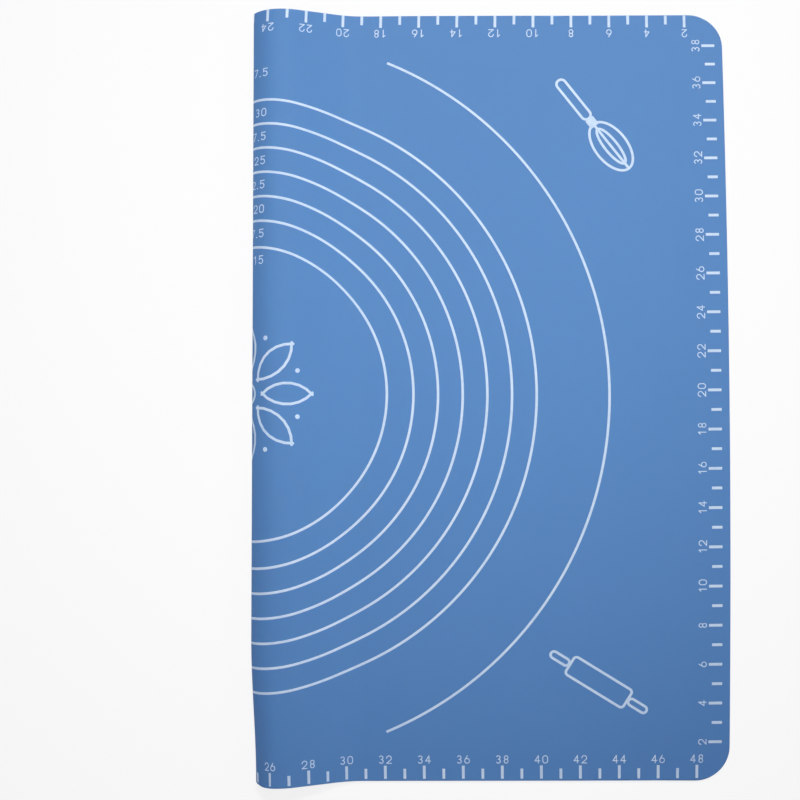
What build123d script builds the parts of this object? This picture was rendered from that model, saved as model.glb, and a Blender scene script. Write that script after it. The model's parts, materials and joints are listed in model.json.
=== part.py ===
from build123d import *
import os
from dataclasses import dataclass
from math import acos, cos, degrees, hypot, radians, sin, sqrt, tan

# A printed silicone baking mat, folded once across the middle.
# The right half lies on top with its print up, the left half lies under it with its print down,
# and the sheet runs through a low springy bend from one to the other.
# +X points from the bend to the free edges, +Y along the bend, +Z up. Millimetres.
# Flat places on the sheet are (across, along), counted from the middle of the printed face.

# The sheet
sheet_width = 497.0
sheet_depth = 396.5
sheet_thickness = 0.8
corner_radius = 17.5

# The bend, as tangent arcs along the middle of the sheet's thickness
bend_height = 13.2
gap_between_halves = 0.25
bend_off_centre = 2.0
landing_radius = 42.0
shoulder_radius = 26.0
crest_radius = 17.0
foot_radius = 7.5
slope_angle = 21.0
crest_angle = 45.0
foot_angle = 30.0
half_turn = 180.0
quarter_turn = 90.0
full_turn = 360.0
landing_bands = 2
shoulder_bands = 2
crest_bands = 3
nose_bands = 4
foot_bands = 2
socket_clearance = 0.05
fold_clearance = 0.25
fold_starts = ("nose_band_1", "left_half")

# The print
print_depth = 0.1
print_rim = 0.2
ring_line = 1.35
ring_diameters = (148.0, 175.0, 200.0, 225.0, 250.0, 275.0, 300.0)
outer_ring_diameter = 374.0
outer_ring_half_sweep = 67.2
smallest_print = 0.4
overrun = 1.0

# The centimetre scales
scale_step = 10.0
first_mark = 2
last_mark_across = 48
last_mark_along = 38
mark_width = 1.5
long_mark = 6.9
short_mark = 5.3
lower_scale_inset = 1.2
upper_scale_inset = -0.4
side_scale_inset = 4.2

# The numerals, as round-ended strokes
numeral_height = 4.4
numeral_width = 3.0
numeral_stroke = 0.5
numeral_pitch = 4.0
numeral_gap = 1.0
point_pitch = 1.8
point_radius = 0.35
upper_bowl_share = 0.24
stem_share = 0.4
flag_share = 0.75
bar_share = 0.3
two_angle = -35.0
three_sweep = 240.0
five_angle = 135.0
five_sweep = 280.0
six_angle = 150.0
label_drop = 6.7
label_reach = 9.8
outer_label_place = 164.5
ring_labels = ("15", "17.5", "20", "22.5", "25", "27.5", "30")
outer_ring_label = "37.5"

# The drawn ornaments
drawing_line = 1.4
petal_count = 8
petal_inner = 9.0
petal_outer = 36.0
petal_half_width = 6.0
hub_radius = 5.0
dot_radius = 1.2
dot_ring_radius = 30.0
whisk_place = (189.0, 128.0)
whisk_tilt = -52.0
whisk_loop_length = 31.0
whisk_loop_width = 18.0
whisk_inner_length = 24.0
whisk_inner_width = 8.0
whisk_collar_length = 5.0
whisk_collar_width = 5.0
whisk_grip = 2.1
whisk_handle_length = 27.0
whisk_handle_width = 6.4
pin_place = (181.0, -147.0)
pin_tilt = -32.0
pin_length = 36.0
pin_width = 12.0
pin_rounding = 2.5
pin_handle_length = 12.0
pin_handle_width = 5.0

# What follows from the sizes
half_thickness = sheet_thickness / 2
half_width = sheet_width / 2
half_depth = sheet_depth / 2
nose_start = radians(crest_angle)
nose_end = radians(half_turn - foot_angle)
slope = radians(slope_angle)
crest_drop = crest_radius * (1 - cos(nose_start))
foot_drop = foot_radius * (1 + cos(nose_end))
nose_radius = (bend_height - crest_drop - foot_drop) / (cos(nose_start) - cos(nose_end))
crest_rise = bend_height - sheet_thickness - gap_between_halves
slope_length = (crest_rise - (landing_radius + shoulder_radius) * (1 - cos(slope))) / sin(slope)
landing_reach = (landing_radius + shoulder_radius) * sin(slope) + slope_length * cos(slope)
crest_reach = crest_radius * sin(nose_start) + nose_radius * (1 - sin(nose_start))
upper_run = (
    (landing_radius + shoulder_radius) * slope
    + slope_length
    + crest_radius * nose_start
    + nose_radius * (radians(quarter_turn) - nose_start)
)
lower_run = nose_radius * (nose_end - radians(quarter_turn)) + foot_radius * radians(foot_angle)
right_panel_width = half_width + bend_off_centre - upper_run
left_panel_width = half_width - bend_off_centre - lower_run
folded_width = half_thickness + crest_reach + landing_reach + right_panel_width
touch_down = half_thickness + crest_reach + landing_reach - folded_width / 2

# name, radius of the arc (plus where it curls over and under), turn in degrees, number of bands
zones = (
    ("landing", -landing_radius, -slope_angle, landing_bands),
    ("slope", 0, 0, 1),
    ("shoulder", shoulder_radius, slope_angle, shoulder_bands),
    ("crest", crest_radius, crest_angle, crest_bands),
    ("nose", nose_radius, degrees(nose_end - nose_start), nose_bands),
    ("foot", foot_radius, foot_angle, foot_bands),
)


@dataclass
class Sign:
    """One printed face on the flat sheet, with its reach to each side and away from the middle."""

    face: Face
    left: float
    right: float
    away: float


@dataclass
class Run:
    """One rigid length of the sheet, from its start towards the far end of the left half."""

    name: str
    start: tuple
    heading: float
    radius: float
    turn: float
    length: float
    flat_start: float

    def heading_at(self, travelled):
        """Direction of travel in radians, after a length along the middle of the thickness."""
        share = travelled / self.length if self.length else 0
        return radians(self.heading + self.turn * share)

    def at(self, travelled, outward):
        """The point (x, z) at a length along the run and a height over its middle surface."""
        first, now = radians(self.heading), self.heading_at(travelled)
        if self.radius == 0:
            return (
                self.start[0] + travelled * cos(first) + outward * sin(first),
                self.start[1] + travelled * sin(first) - outward * cos(first),
            )
        reach = self.radius + outward
        return (
            self.start[0] - self.radius * sin(first) + reach * sin(now),
            self.start[1] + self.radius * cos(first) - reach * cos(now),
        )

    def socket_radius(self):
        """Radius of the round socket at the start, wider where the sheet folds open."""
        clearance = fold_clearance if self.name in fold_starts else socket_clearance
        return half_thickness + clearance

    def socket_end(self, outward):
        """The length at which the round socket at the start leaves the given height."""
        if self.radius == 0:
            return sqrt(self.socket_radius() ** 2 - outward**2)
        reach = self.radius + outward
        over = self.radius**2 + reach**2 - self.socket_radius() ** 2
        return abs(self.radius) * acos(over / (2 * self.radius * reach))

    def end(self):
        """The point on the middle surface where the next run starts."""
        return self.at(self.length, 0)

    def sagitta(self):
        """How far the arc stands off its chord."""
        return abs(self.radius) * (1 - cos(radians(self.turn / 2)))

    def plane(self):
        """Workplane on the printed face at mid length: x across the sheet, y along the bend."""
        middle = self.heading_at(self.length / 2)
        x, z = self.at(self.length / 2, half_thickness)
        return Plane(
            origin=(x, 0, z),
            x_dir=(-cos(middle), 0, -sin(middle)),
            z_dir=(sin(middle), 0, -cos(middle)),
        )

    def window(self):
        """Lowest and highest flat place across the sheet that this run carries."""
        stretch = 0
        if self.radius:
            printed = abs(self.radius + half_thickness)
            stretch = printed * sin(radians(abs(self.turn) / 2)) - self.length / 2
        return self.flat_start - self.length - stretch, self.flat_start + stretch


def lay_out():
    """Every run of the sheet in order: the right half, the bands of the bend, the left half."""
    free_edge = (touch_down + right_panel_width, bend_height - crest_rise + half_thickness)
    runs = [Run("right_half", free_edge, half_turn, 0, 0, right_panel_width, half_width)]
    for zone, radius, turn, count in zones:
        for number in range(1, count + 1):
            last = runs[-1]
            length = abs(radius) * radians(abs(turn)) / count if radius else slope_length
            name = f"{zone}_band_{number}" if count > 1 else f"{zone}_band"
            heading = last.heading + last.turn
            flat = last.flat_start - last.length
            runs.append(Run(name, last.end(), heading, radius, turn / count, length, flat))
    last = runs[-1]
    flat = last.flat_start - last.length
    left = Run("left_half", last.end(), last.heading + last.turn, 0, 0, left_panel_width, flat)
    return runs + [left]


def ribbon(run, low, first, socket=False, nose=False):
    """Solid over the whole depth, from a height up to the printed face, from a length onwards.

    With a socket or a nose it is a whole thickness of sheet, its low face at the back.
    """
    high = half_thickness
    if nose or socket:
        low = -half_thickness
    first_high = run.socket_end(high) if socket else first
    first_low = run.socket_end(low) if socket else first
    last = run.length
    a, b = run.at(first_high, high), run.at(last, high)
    c, d = run.at(last, low), run.at(first_low, low)
    if run.radius:
        upper = ThreePointArc(a, run.at((first_high + last) / 2, high), b)
        lower = ThreePointArc(c, run.at((first_low + last) / 2, low), d)
    else:
        upper = Line(a, b)
        lower = Line(c, d)
    front = Line(b, c)
    back = Line(d, a)
    if nose:
        front = ThreePointArc(b, ahead(run.end(), run.heading_at(last), half_thickness), c)
    if socket:
        back = ThreePointArc(d, ahead(run.start, run.heading_at(0), run.socket_radius()), a)
    section = Plane.XZ * make_face([upper, front, lower, back])
    return extrude(section, amount=half_depth, both=True)


def ahead(point, heading, distance):
    """The point at a distance from another in a direction, given in radians."""
    return point[0] + distance * cos(heading), point[1] + distance * sin(heading)


def polar(centre, radius, angle):
    """The point of a circle at an angle, given in degrees."""
    return ahead(centre, radians(angle), radius)


def straight(start, end, width):
    """A round-ended straight stroke from one point to another."""
    across, up = end[0] - start[0], end[1] - start[1]
    along = Vector(across, up).get_angle(Vector(1, 0)) * (1 if up >= 0 else -1)
    middle = ((start[0] + end[0]) / 2, (start[1] + end[1]) / 2)
    return Pos(*middle) * Rot(0, 0, along) * SlotCenterToCenter(hypot(across, up), width)


def swept(centre, radius, first, sweep, width):
    """A square-ended stroke along an arc, from the first angle through the sweep, in degrees."""
    outer = CenterArc(centre, radius + width / 2, first, sweep)
    inner = CenterArc(centre, radius - width / 2, first, sweep)
    return make_face([outer, Line(outer @ 1, inner @ 1), inner, Line(inner @ 0, outer @ 0)])


def curved(centre, radius, first, sweep, width):
    """A round-ended stroke along an arc, from the first angle through the sweep, in degrees."""
    middle = CenterArc(centre, radius, first, sweep)
    caps = [Pos(*(middle @ place)) * Circle(width / 2) for place in (0, 1)]
    return swept(centre, radius, first, sweep, width) + caps


def ring(radius, width):
    """A closed round line of the given radius and width."""
    return Circle(radius + width / 2) - Circle(radius - width / 2)


def outline(shape, width):
    """The rim of a closed face, drawn as a line of the given width inside its edge."""
    return shape - offset(shape, -width)


def draw_numerals():
    """The ten numerals and the point, each centred across and standing on its base line."""
    w = numeral_stroke
    base = w / 2
    top = numeral_height - w / 2
    tall = top - base
    bowl = (numeral_width - w) / 2
    upper = tall * upper_bowl_share
    lower = tall / 2 - upper
    stem = bowl * stem_share
    bar = base + tall * bar_share
    low_bowl, high_bowl = (0, base + bowl), (0, top - bowl)
    two_end = polar(high_bowl, bowl, two_angle)
    five_end = polar(low_bowl, bowl, five_angle)
    six_start = polar(low_bowl, bowl, six_angle)
    six_end = (six_start[0] + (top - six_start[1]) / tan(radians(six_angle - quarter_turn)), top)
    six = Pos(*low_bowl) * ring(bowl, w) + straight(six_start, six_end, w)
    middle = Pos(0, numeral_height / 2)
    return {
        "0": curved(high_bowl, bowl, 0, half_turn, w)
        + curved(low_bowl, bowl, half_turn, half_turn, w)
        + straight((-bowl, low_bowl[1]), (-bowl, high_bowl[1]), w)
        + straight((bowl, low_bowl[1]), (bowl, high_bowl[1]), w),
        "1": straight((stem, base), (stem, top), w)
        + straight((stem, top), (-stem, top - bowl * flag_share), w),
        "2": curved(high_bowl, bowl, two_angle, half_turn - two_angle, w)
        + straight(two_end, (-bowl, base), w)
        + straight((-bowl, base), (bowl, base), w),
        "3": curved((0, top - upper), upper, -quarter_turn, three_sweep, w)
        + curved((0, base + lower), lower, quarter_turn - three_sweep, three_sweep, w),
        "4": straight((stem, base), (stem, top), w)
        + straight((stem, top), (-bowl, bar), w)
        + straight((-bowl, bar), (bowl, bar), w),
        "5": straight((bowl, top), (five_end[0], top), w)
        + straight((five_end[0], top), five_end, w)
        + curved(low_bowl, bowl, five_angle - five_sweep, five_sweep, w),
        "6": six,
        "7": straight((-bowl, top), (bowl, top), w) + straight((bowl, top), (-stem, base), w),
        "8": Pos(0, top - upper) * ring(upper, w) + Pos(0, base + lower) * ring(lower, w),
        "9": middle * Rot(0, 0, half_turn) * Pos(0, -numeral_height / 2) * six,
        ".": Pos(0, base) * Circle(point_radius),
    }


def number(text, numerals):
    """A printed number, centred across and standing on its base line."""
    pitches = [point_pitch if sign == "." else numeral_pitch for sign in text]
    place = -sum(pitches) / 2
    signs = []
    for sign, pitch in zip(text, pitches):
        signs.append(Pos(place + pitch / 2, 0) * numerals[sign])
        place += pitch
    return signs


def scale(length, last_mark, inset, numerals):
    """Marks and numbers of one edge scale; the edge runs along y = 0 from x = 0."""
    signs = []
    for mark in range(first_mark, last_mark + 1):
        numbered = mark % 2 == 0
        height = long_mark if numbered else short_mark
        place = mark * scale_step - length / 2
        signs.append(Pos(place, inset + height / 2) * Rectangle(mark_width, height))
        if numbered:
            base = inset + long_mark + numeral_gap
            signs += [Pos(place, base) * sign for sign in number(str(mark), numerals)]
    return signs


def rosette():
    """Petals round a hub, with dots between them, at the middle of the sheet."""
    chord = petal_outer - petal_inner
    bow = (chord**2 / 4 + petal_half_width**2) / (2 * petal_half_width)
    side = bow - petal_half_width
    middle = (petal_outer + petal_inner) / 2
    petal = Pos(middle, side) * Circle(bow) & Pos(middle, -side) * Circle(bow)
    petal = outline(petal, drawing_line)
    step = full_turn / petal_count
    signs = [Rot(0, 0, step * place) * petal for place in range(petal_count)]
    dot = Pos(dot_ring_radius, 0) * Circle(dot_radius)
    signs += [Rot(0, 0, step * (place + 1 / 2)) * dot for place in range(petal_count)]
    return signs + [ring(hub_radius, drawing_line)]


def wire_loop(length, width):
    """An oval line of the given outer length and width."""
    reach, side = length / 2, width / 2
    return Ellipse(reach, side) - Ellipse(reach - drawing_line, side - drawing_line)


def whisk():
    """A balloon whisk in outline: two nested wire loops, a middle wire, a collar and a handle."""
    reach = whisk_loop_length / 2
    loops = wire_loop(whisk_loop_length, whisk_loop_width)
    loops += wire_loop(whisk_inner_length, whisk_inner_width)
    wire = straight((-reach, 0), (reach - drawing_line, 0), drawing_line)
    collar_end = whisk_grip - reach - whisk_collar_length
    collar = Pos(collar_end + whisk_collar_length / 2) * Rectangle(
        whisk_collar_length, whisk_collar_width
    )
    hold = Pos(collar_end + whisk_grip - whisk_handle_length / 2)
    handle = hold * outline(SlotOverall(whisk_handle_length, whisk_handle_width), drawing_line)
    return Pos(*whisk_place) * Rot(0, 0, whisk_tilt) * (loops + wire + collar + handle)


def rolling_pin():
    """A rolling pin in outline: the roller and its two handles."""
    roller = outline(RectangleRounded(pin_length, pin_width, pin_rounding), drawing_line)
    out = (pin_length + pin_handle_length) / 2 - drawing_line / 2
    grip = outline(SlotOverall(pin_handle_length, pin_handle_width), drawing_line)
    return Pos(*pin_place) * Rot(0, 0, pin_tilt) * (roller + Pos(out) * grip + Pos(-out) * grip)


def print_design():
    """Everything printed on the flat sheet: name of the printed group to its drawn shapes."""
    numerals = draw_numerals()
    groups = {}
    for diameter in ring_diameters:
        groups[f"ring_{diameter:g}"] = [ring(diameter / 2, ring_line)]
    sweep = 2 * outer_ring_half_sweep
    arc = swept((0, 0), outer_ring_diameter / 2, -outer_ring_half_sweep, sweep, ring_line)
    groups[f"ring_{outer_ring_diameter:g}"] = [arc, Rot(0, 0, half_turn) * arc]
    edges = (
        ("lower_scale", sheet_width, last_mark_across, lower_scale_inset, 0, half_depth),
        ("right_scale", sheet_depth, last_mark_along, side_scale_inset, 1, half_width),
        ("upper_scale", sheet_width, last_mark_across, upper_scale_inset, 2, half_depth),
        ("left_scale", sheet_depth, last_mark_along, side_scale_inset, 3, half_width),
    )
    for name, length, last_mark, inset, quarter, away in edges:
        turned = Rot(0, 0, quarter_turn * quarter) * Pos(0, -away)
        groups[name] = [turned * sign for sign in scale(length, last_mark, inset, numerals)]
    labels = []
    places = [diameter / 2 - label_drop for diameter in ring_diameters] + [outer_label_place]
    for text, place in zip(ring_labels + (outer_ring_label,), places):
        signs = number(text, numerals)
        right = max(sign.bounding_box().max.X for sign in signs)
        at = Pos(label_reach - right, place - numeral_height / 2)
        labels += [at * sign for sign in signs]
    groups["ring_labels"] = labels
    groups["rosette"] = rosette()
    corner = [whisk(), rolling_pin()]
    groups["ornaments"] = corner + [Rot(0, 0, half_turn) * drawing for drawing in corner]
    return groups


def measure(shapes):
    """The faces of drawn shapes, each with its reach."""
    signs = []
    for face in [face for shape in shapes for face in shape.faces()]:
        box = face.bounding_box()
        signs.append(Sign(face, box.min.X, box.max.X, max(-box.min.Y, box.max.Y)))
    return signs


def faces_in(signs, low, high):
    """The parts of printed faces between two places across the sheet, and inside its rim."""
    tall = half_depth - print_rim
    frame = Pos((low + high) / 2, 0) * Rectangle(high - low, 2 * tall)
    kept = []
    for sign in signs:
        if sign.right <= low or sign.left >= high:
            continue
        if sign.left > low and sign.right < high and sign.away < tall:
            kept.append(sign.face)
        else:
            kept += ((Sketch() + sign.face) & frame).faces()
    return [face for face in kept if face.area > smallest_print**2]


def make_panel(run, groups):
    """One flat half: its slab with two round free corners, and a solid list per printed group."""
    right = run.heading == half_turn
    low, high = run.flat_start - run.length, run.flat_start
    slab = ribbon(run, half_thickness, 0, socket=not right, nose=right)
    side = 1 if right else -1
    plan = Pos((low + high - side * overrun) / 2, 0) * Rectangle(run.length + overrun, sheet_depth)
    plan = fillet([v for v in plan.vertices() if abs(v.X) > half_width - overrun], corner_radius)
    middle = (low + high) / 2
    place = run.plane() * Pos(-middle, 0)
    slab = slab & place * extrude(plan, amount=sheet_thickness + overrun, both=True)
    if right:
        high -= print_rim
    else:
        low += print_rim
        high -= run.socket_end(half_thickness - print_depth)
    printed = {}
    for name, signs in groups.items():
        faces = faces_in(signs, low, high)
        if faces:
            solids = [place * extrude(face, amount=-print_depth) for face in faces]
            printed[f"{run.name}_{name}"] = [solid for part in solids for solid in part.solids()]
    return slab - [solid for solids in printed.values() for solid in solids], printed


def make_band(run, groups):
    """One band of the bend, and the solids of all print on it."""
    band = ribbon(run, half_thickness, 0, socket=True, nose=True)
    depth = half_thickness - print_depth
    layer = ribbon(run, depth, run.socket_end(depth))
    place = run.plane() * Pos(run.length / 2 - run.flat_start, 0)
    low, high = run.window()
    solids = []
    for signs in groups.values():
        for face in faces_in(signs, low, high):
            tool = extrude(face, amount=run.sagitta() + print_depth + overrun, both=True)
            solids += (place * tool & layer).solids()
    return band - solids, {f"{run.name}_print": solids}


def export(name, shape):
    """Write one node and say how much it holds."""
    export_step(shape, f"parts/{name}.step")
    print(name, len(shape.solids()), round(sum(solid.volume for solid in shape.solids()), 2))


os.makedirs("parts", exist_ok=True)
design = {name: measure(shapes) for name, shapes in print_design().items()}
right_half, *bands, left_half = lay_out()
makers = [(right_half, make_panel)] + [(band, make_band) for band in bands] + [(left_half, make_panel)]
for piece, make in makers:
    sheet, prints = make(piece, design)
    export(piece.name, sheet)
    for print_name, pieces in prints.items():
        export(print_name, Compound(children=pieces))
    print("starts at", [round(place, 3) for place in piece.start], "heading", piece.heading)
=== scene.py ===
"""Dresses the folded silicone baking mat: one unbroken sheet round its bend, with its white print."""

import json
import logging
from collections.abc import Callable
from dataclasses import dataclass, field
from enum import Enum

import bmesh
import bpy
import numpy as np
from mathutils import Matrix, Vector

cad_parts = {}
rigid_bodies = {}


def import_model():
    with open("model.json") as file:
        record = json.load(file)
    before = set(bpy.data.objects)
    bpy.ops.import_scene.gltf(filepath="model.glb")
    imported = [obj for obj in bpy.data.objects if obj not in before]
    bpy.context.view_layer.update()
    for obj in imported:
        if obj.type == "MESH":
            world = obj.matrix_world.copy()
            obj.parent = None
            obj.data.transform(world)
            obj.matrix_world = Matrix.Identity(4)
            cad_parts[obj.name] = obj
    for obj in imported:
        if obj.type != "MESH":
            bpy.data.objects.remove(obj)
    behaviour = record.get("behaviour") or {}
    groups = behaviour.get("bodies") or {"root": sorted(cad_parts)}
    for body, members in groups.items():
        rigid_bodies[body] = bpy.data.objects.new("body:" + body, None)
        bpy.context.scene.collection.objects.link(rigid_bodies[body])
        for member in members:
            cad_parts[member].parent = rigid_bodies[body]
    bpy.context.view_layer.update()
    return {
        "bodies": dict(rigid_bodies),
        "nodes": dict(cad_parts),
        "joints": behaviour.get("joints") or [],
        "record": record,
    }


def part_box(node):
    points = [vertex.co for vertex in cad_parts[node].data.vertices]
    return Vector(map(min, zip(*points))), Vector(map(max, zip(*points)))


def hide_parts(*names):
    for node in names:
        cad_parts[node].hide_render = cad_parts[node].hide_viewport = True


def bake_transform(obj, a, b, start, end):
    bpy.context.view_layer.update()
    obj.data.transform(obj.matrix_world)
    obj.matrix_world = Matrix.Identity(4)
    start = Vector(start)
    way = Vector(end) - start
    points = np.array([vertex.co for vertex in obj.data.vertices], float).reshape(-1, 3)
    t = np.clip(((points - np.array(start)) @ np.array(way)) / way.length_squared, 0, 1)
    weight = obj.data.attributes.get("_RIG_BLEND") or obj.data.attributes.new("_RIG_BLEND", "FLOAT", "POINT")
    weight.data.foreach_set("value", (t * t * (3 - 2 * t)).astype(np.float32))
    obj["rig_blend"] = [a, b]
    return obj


MM = 0.001
DEG = np.pi / 180
FINEST_DIGIT = 9
LEAST_CHORD = 0.01 * MM
log = logging.getLogger("baking_mat")


class Ends(Enum):
    """How a printed stroke ends."""

    ROUND = "round"
    SQUARE = "square"
    LOOP = "closed on itself"


class Surround(Enum):
    """Names of the parts of the set that aren't the mat."""

    FLOOR = "floor"
    KEY = "key_lamp"
    SIDE = "side_lamp"
    CAMERA = "camera"


@dataclass(frozen=True)
class Silicone:
    """The mat's blue silicone: satin, faintly cloudy, with a fine moulded grain."""

    colour: tuple = (0.091, 0.234, 0.500, 1.0)
    cloudy: tuple = (0.099, 0.245, 0.516, 1.0)
    cloud_scale: float = 26.0
    grain_scale: float = 2600.0
    grain_depth: float = 0.012 * MM
    roughness: tuple = (0.6, 0.68)
    refraction: float = 1.41
    gloss: float = 0.3
    glow_weight: float = 0.12
    glow_depth: float = 0.6 * MM

    def build(self) -> bpy.types.Material:
        """Makes the material.

        Returns:
            The finished silicone.
        """
        tree = MaterialTree("blue_silicone")
        clouds = tree.noise(self.cloud_scale, detail=3.0)
        grain = tree.noise(self.grain_scale, detail=2.0)
        tree.link(tree.mix(clouds, self.colour, self.cloudy), tree.skin, "Base Color")
        tree.link(tree.spread(clouds, *self.roughness), tree.skin, "Roughness")
        tree.link(tree.bump(grain, self.grain_depth), tree.skin, "Normal")
        tree.skin.inputs["IOR"].default_value = self.refraction
        tree.skin.inputs["Specular IOR Level"].default_value = self.gloss
        tree.skin.inputs["Subsurface Weight"].default_value = self.glow_weight
        tree.skin.inputs["Subsurface Scale"].default_value = self.glow_depth
        return tree.material


@dataclass(frozen=True)
class Ink:
    """The white silicone ink: matt, and a little thin in places, where the blue shows through."""

    colour: tuple = (0.67, 0.79, 0.91, 1.0)
    thin: tuple = (0.50, 0.65, 0.82, 1.0)
    wear_scale: float = 420.0
    patch_scale: float = 38.0
    grain_scale: float = 3200.0
    grain_depth: float = 0.01 * MM
    roughness: tuple = (0.5, 0.62)
    refraction: float = 1.41

    def build(self) -> bpy.types.Material:
        """Makes the material.

        Returns:
            The finished ink.
        """
        tree = MaterialTree("white_ink")
        wear = tree.noise(self.wear_scale, detail=4.0)
        patches = tree.noise(self.patch_scale, detail=2.0)
        thinness = tree.multiply(wear, patches)
        tree.link(tree.mix(thinness, self.colour, self.thin), tree.skin, "Base Color")
        tree.link(tree.spread(wear, *self.roughness), tree.skin, "Roughness")
        grain = tree.noise(self.grain_scale, detail=2.0)
        tree.link(tree.bump(grain, self.grain_depth), tree.skin, "Normal")
        tree.skin.inputs["IOR"].default_value = self.refraction
        return tree.material


@dataclass(frozen=True)
class Backdrop:
    """The plain white floor: the camera sees it white, with the mat's soft shadow on it."""

    colour: tuple = (0.88, 0.88, 0.88, 1.0)
    white: tuple = (1.0, 1.0, 1.0, 1.0)
    seen_white: float = 0.84
    roughness: float = 0.9

    def build(self) -> bpy.types.Material:
        """Makes the material: lit paint, with a share of plain white for rays that look at it.

        Returns:
            The finished floor.
        """
        tree = MaterialTree("white_floor")
        tree.skin.inputs["Base Color"].default_value = self.colour
        tree.skin.inputs["Roughness"].default_value = self.roughness
        share = tree.add("ShaderNodeMath", operation="MULTIPLY")
        tree.link(looking_rays(tree.nodes, tree.material.node_tree.links), share, 0)
        share.inputs[1].default_value = self.seen_white
        white = tree.add("ShaderNodeEmission")
        white.inputs["Color"].default_value = self.white
        both = tree.add("ShaderNodeMixShader")
        tree.link(share.outputs[0], both, 0)
        tree.link(tree.skin.outputs[0], both, 1)
        tree.link(white.outputs[0], both, 2)
        tree.link(both.outputs[0], tree.output, "Surface")
        return tree.material


def looking_rays(nodes: bpy.types.Nodes, links: bpy.types.NodeLinks) -> bpy.types.NodeSocket:
    """Tells rays that look at a surface or mirror it from those that only light the set.

    Args:
        nodes: the node tree's nodes.
        links: its links.

    Returns:
        1 for camera, glossy and transmission rays, 0 for the rest.
    """
    path = nodes.new("ShaderNodeLightPath")
    found = path.outputs["Is Camera Ray"]
    for kind in ("Is Glossy Ray", "Is Transmission Ray"):
        either = nodes.new("ShaderNodeMath")
        either.operation = "MAXIMUM"
        links.new(found, either.inputs[0])
        links.new(path.outputs[kind], either.inputs[1])
        found = either.outputs[0]
    return found


class MaterialTree:
    """A node material and the few kinds of node that the finishes are made of."""

    def __init__(self, name: str) -> None:
        """Starts a material with its skin shader.

        Args:
            name: the material's name.
        """
        self.material = bpy.data.materials.new(name)
        self.material.use_nodes = True
        self.nodes = self.material.node_tree.nodes
        self.skin = self.nodes["Principled BSDF"]
        self.output = self.nodes["Material Output"]
        self.places = self.add("ShaderNodeTexCoord").outputs["Object"]

    def add(self, kind: str, **settings: object) -> bpy.types.Node:
        """Adds a node.

        Args:
            kind: the node's type name.
            **settings: attributes to set on it.

        Returns:
            The new node.
        """
        node = self.nodes.new(kind)
        for name, value in settings.items():
            setattr(node, name, value)
        return node

    def link(self, output: bpy.types.NodeSocket, node: bpy.types.Node, socket: str | int) -> None:
        """Links an output to a node's named or numbered input."""
        self.material.node_tree.links.new(output, node.inputs[socket])

    def noise(self, scale: float, detail: float) -> bpy.types.NodeSocket:
        """Adds a noise over the object's own coordinates.

        Args:
            scale: waves per metre.
            detail: octaves of finer noise.

        Returns:
            Its factor.
        """
        node = self.add("ShaderNodeTexNoise")
        node.inputs["Scale"].default_value = scale
        node.inputs["Detail"].default_value = detail
        self.link(self.places, node, "Vector")
        return node.outputs["Fac"]

    def mix(self, factor: bpy.types.NodeSocket, first: tuple, second: tuple) -> bpy.types.NodeSocket:
        """Mixes two colours.

        Args:
            factor: how far from the first to the second.
            first: colour at factor 0.
            second: colour at factor 1.

        Returns:
            The mixed colour.
        """
        node = self.add("ShaderNodeMix", data_type="RGBA")
        self.link(factor, node, 0)
        node.inputs[6].default_value = first
        node.inputs[7].default_value = second
        return node.outputs[2]

    def spread(self, value: bpy.types.NodeSocket, low: float, high: float) -> bpy.types.NodeSocket:
        """Maps a factor from 0 to 1 onto a range.

        Args:
            value: the factor.
            low: result at 0.
            high: result at 1.

        Returns:
            The mapped value.
        """
        node = self.add("ShaderNodeMapRange")
        self.link(value, node, "Value")
        node.inputs["To Min"].default_value = low
        node.inputs["To Max"].default_value = high
        return node.outputs["Result"]

    def multiply(self, first: bpy.types.NodeSocket, second: bpy.types.NodeSocket) -> bpy.types.NodeSocket:
        """Multiplies two factors and doubles the product, so that two even factors stay near even.

        Args:
            first: one factor.
            second: the other factor.

        Returns:
            The product.
        """
        product = self.add("ShaderNodeMath", operation="MULTIPLY")
        self.link(first, product, 0)
        self.link(second, product, 1)
        doubled = self.add("ShaderNodeMath", operation="ADD", use_clamp=True)
        self.link(product.outputs[0], doubled, 0)
        self.link(product.outputs[0], doubled, 1)
        return doubled.outputs[0]

    def bump(self, height: bpy.types.NodeSocket, depth: float) -> bpy.types.NodeSocket:
        """Turns a factor into relief.

        Args:
            height: the factor.
            depth: how deep the relief is, in metres.

        Returns:
            The bumped normal.
        """
        node = self.add("ShaderNodeBump")
        node.inputs["Distance"].default_value = depth
        self.link(height, node, "Height")
        return node.outputs["Normal"]


@dataclass(frozen=True)
class Bend:
    """The bend's section from the right half to the left: one arc or straight after another."""

    landing_radius: float = 42.0 * MM
    shoulder_radius: float = 26.0 * MM
    crest_radius: float = 17.0 * MM
    nose_radius: float = 4.587 * MM
    foot_radius: float = 7.5 * MM
    slope_length: float = 21.301 * MM
    slope_turn: float = 21 * DEG
    crest_turn: float = 45 * DEG
    nose_turn: float = 105 * DEG
    foot_turn: float = 30 * DEG

    def runs(self) -> tuple[np.ndarray, np.ndarray]:
        """How far each run turns and how long it is.

        Returns:
            The turns in radians, and the lengths.
        """
        arcs = (
            (self.landing_radius, -self.slope_turn),
            (0.0, 0.0),
            (self.shoulder_radius, self.slope_turn),
            (self.crest_radius, self.crest_turn),
            (self.nose_radius, self.nose_turn),
            (self.foot_radius, self.foot_turn),
        )
        radius, turn = np.array(arcs).T
        return turn, np.where(radius > 0, radius * abs(turn), self.slope_length)


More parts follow.
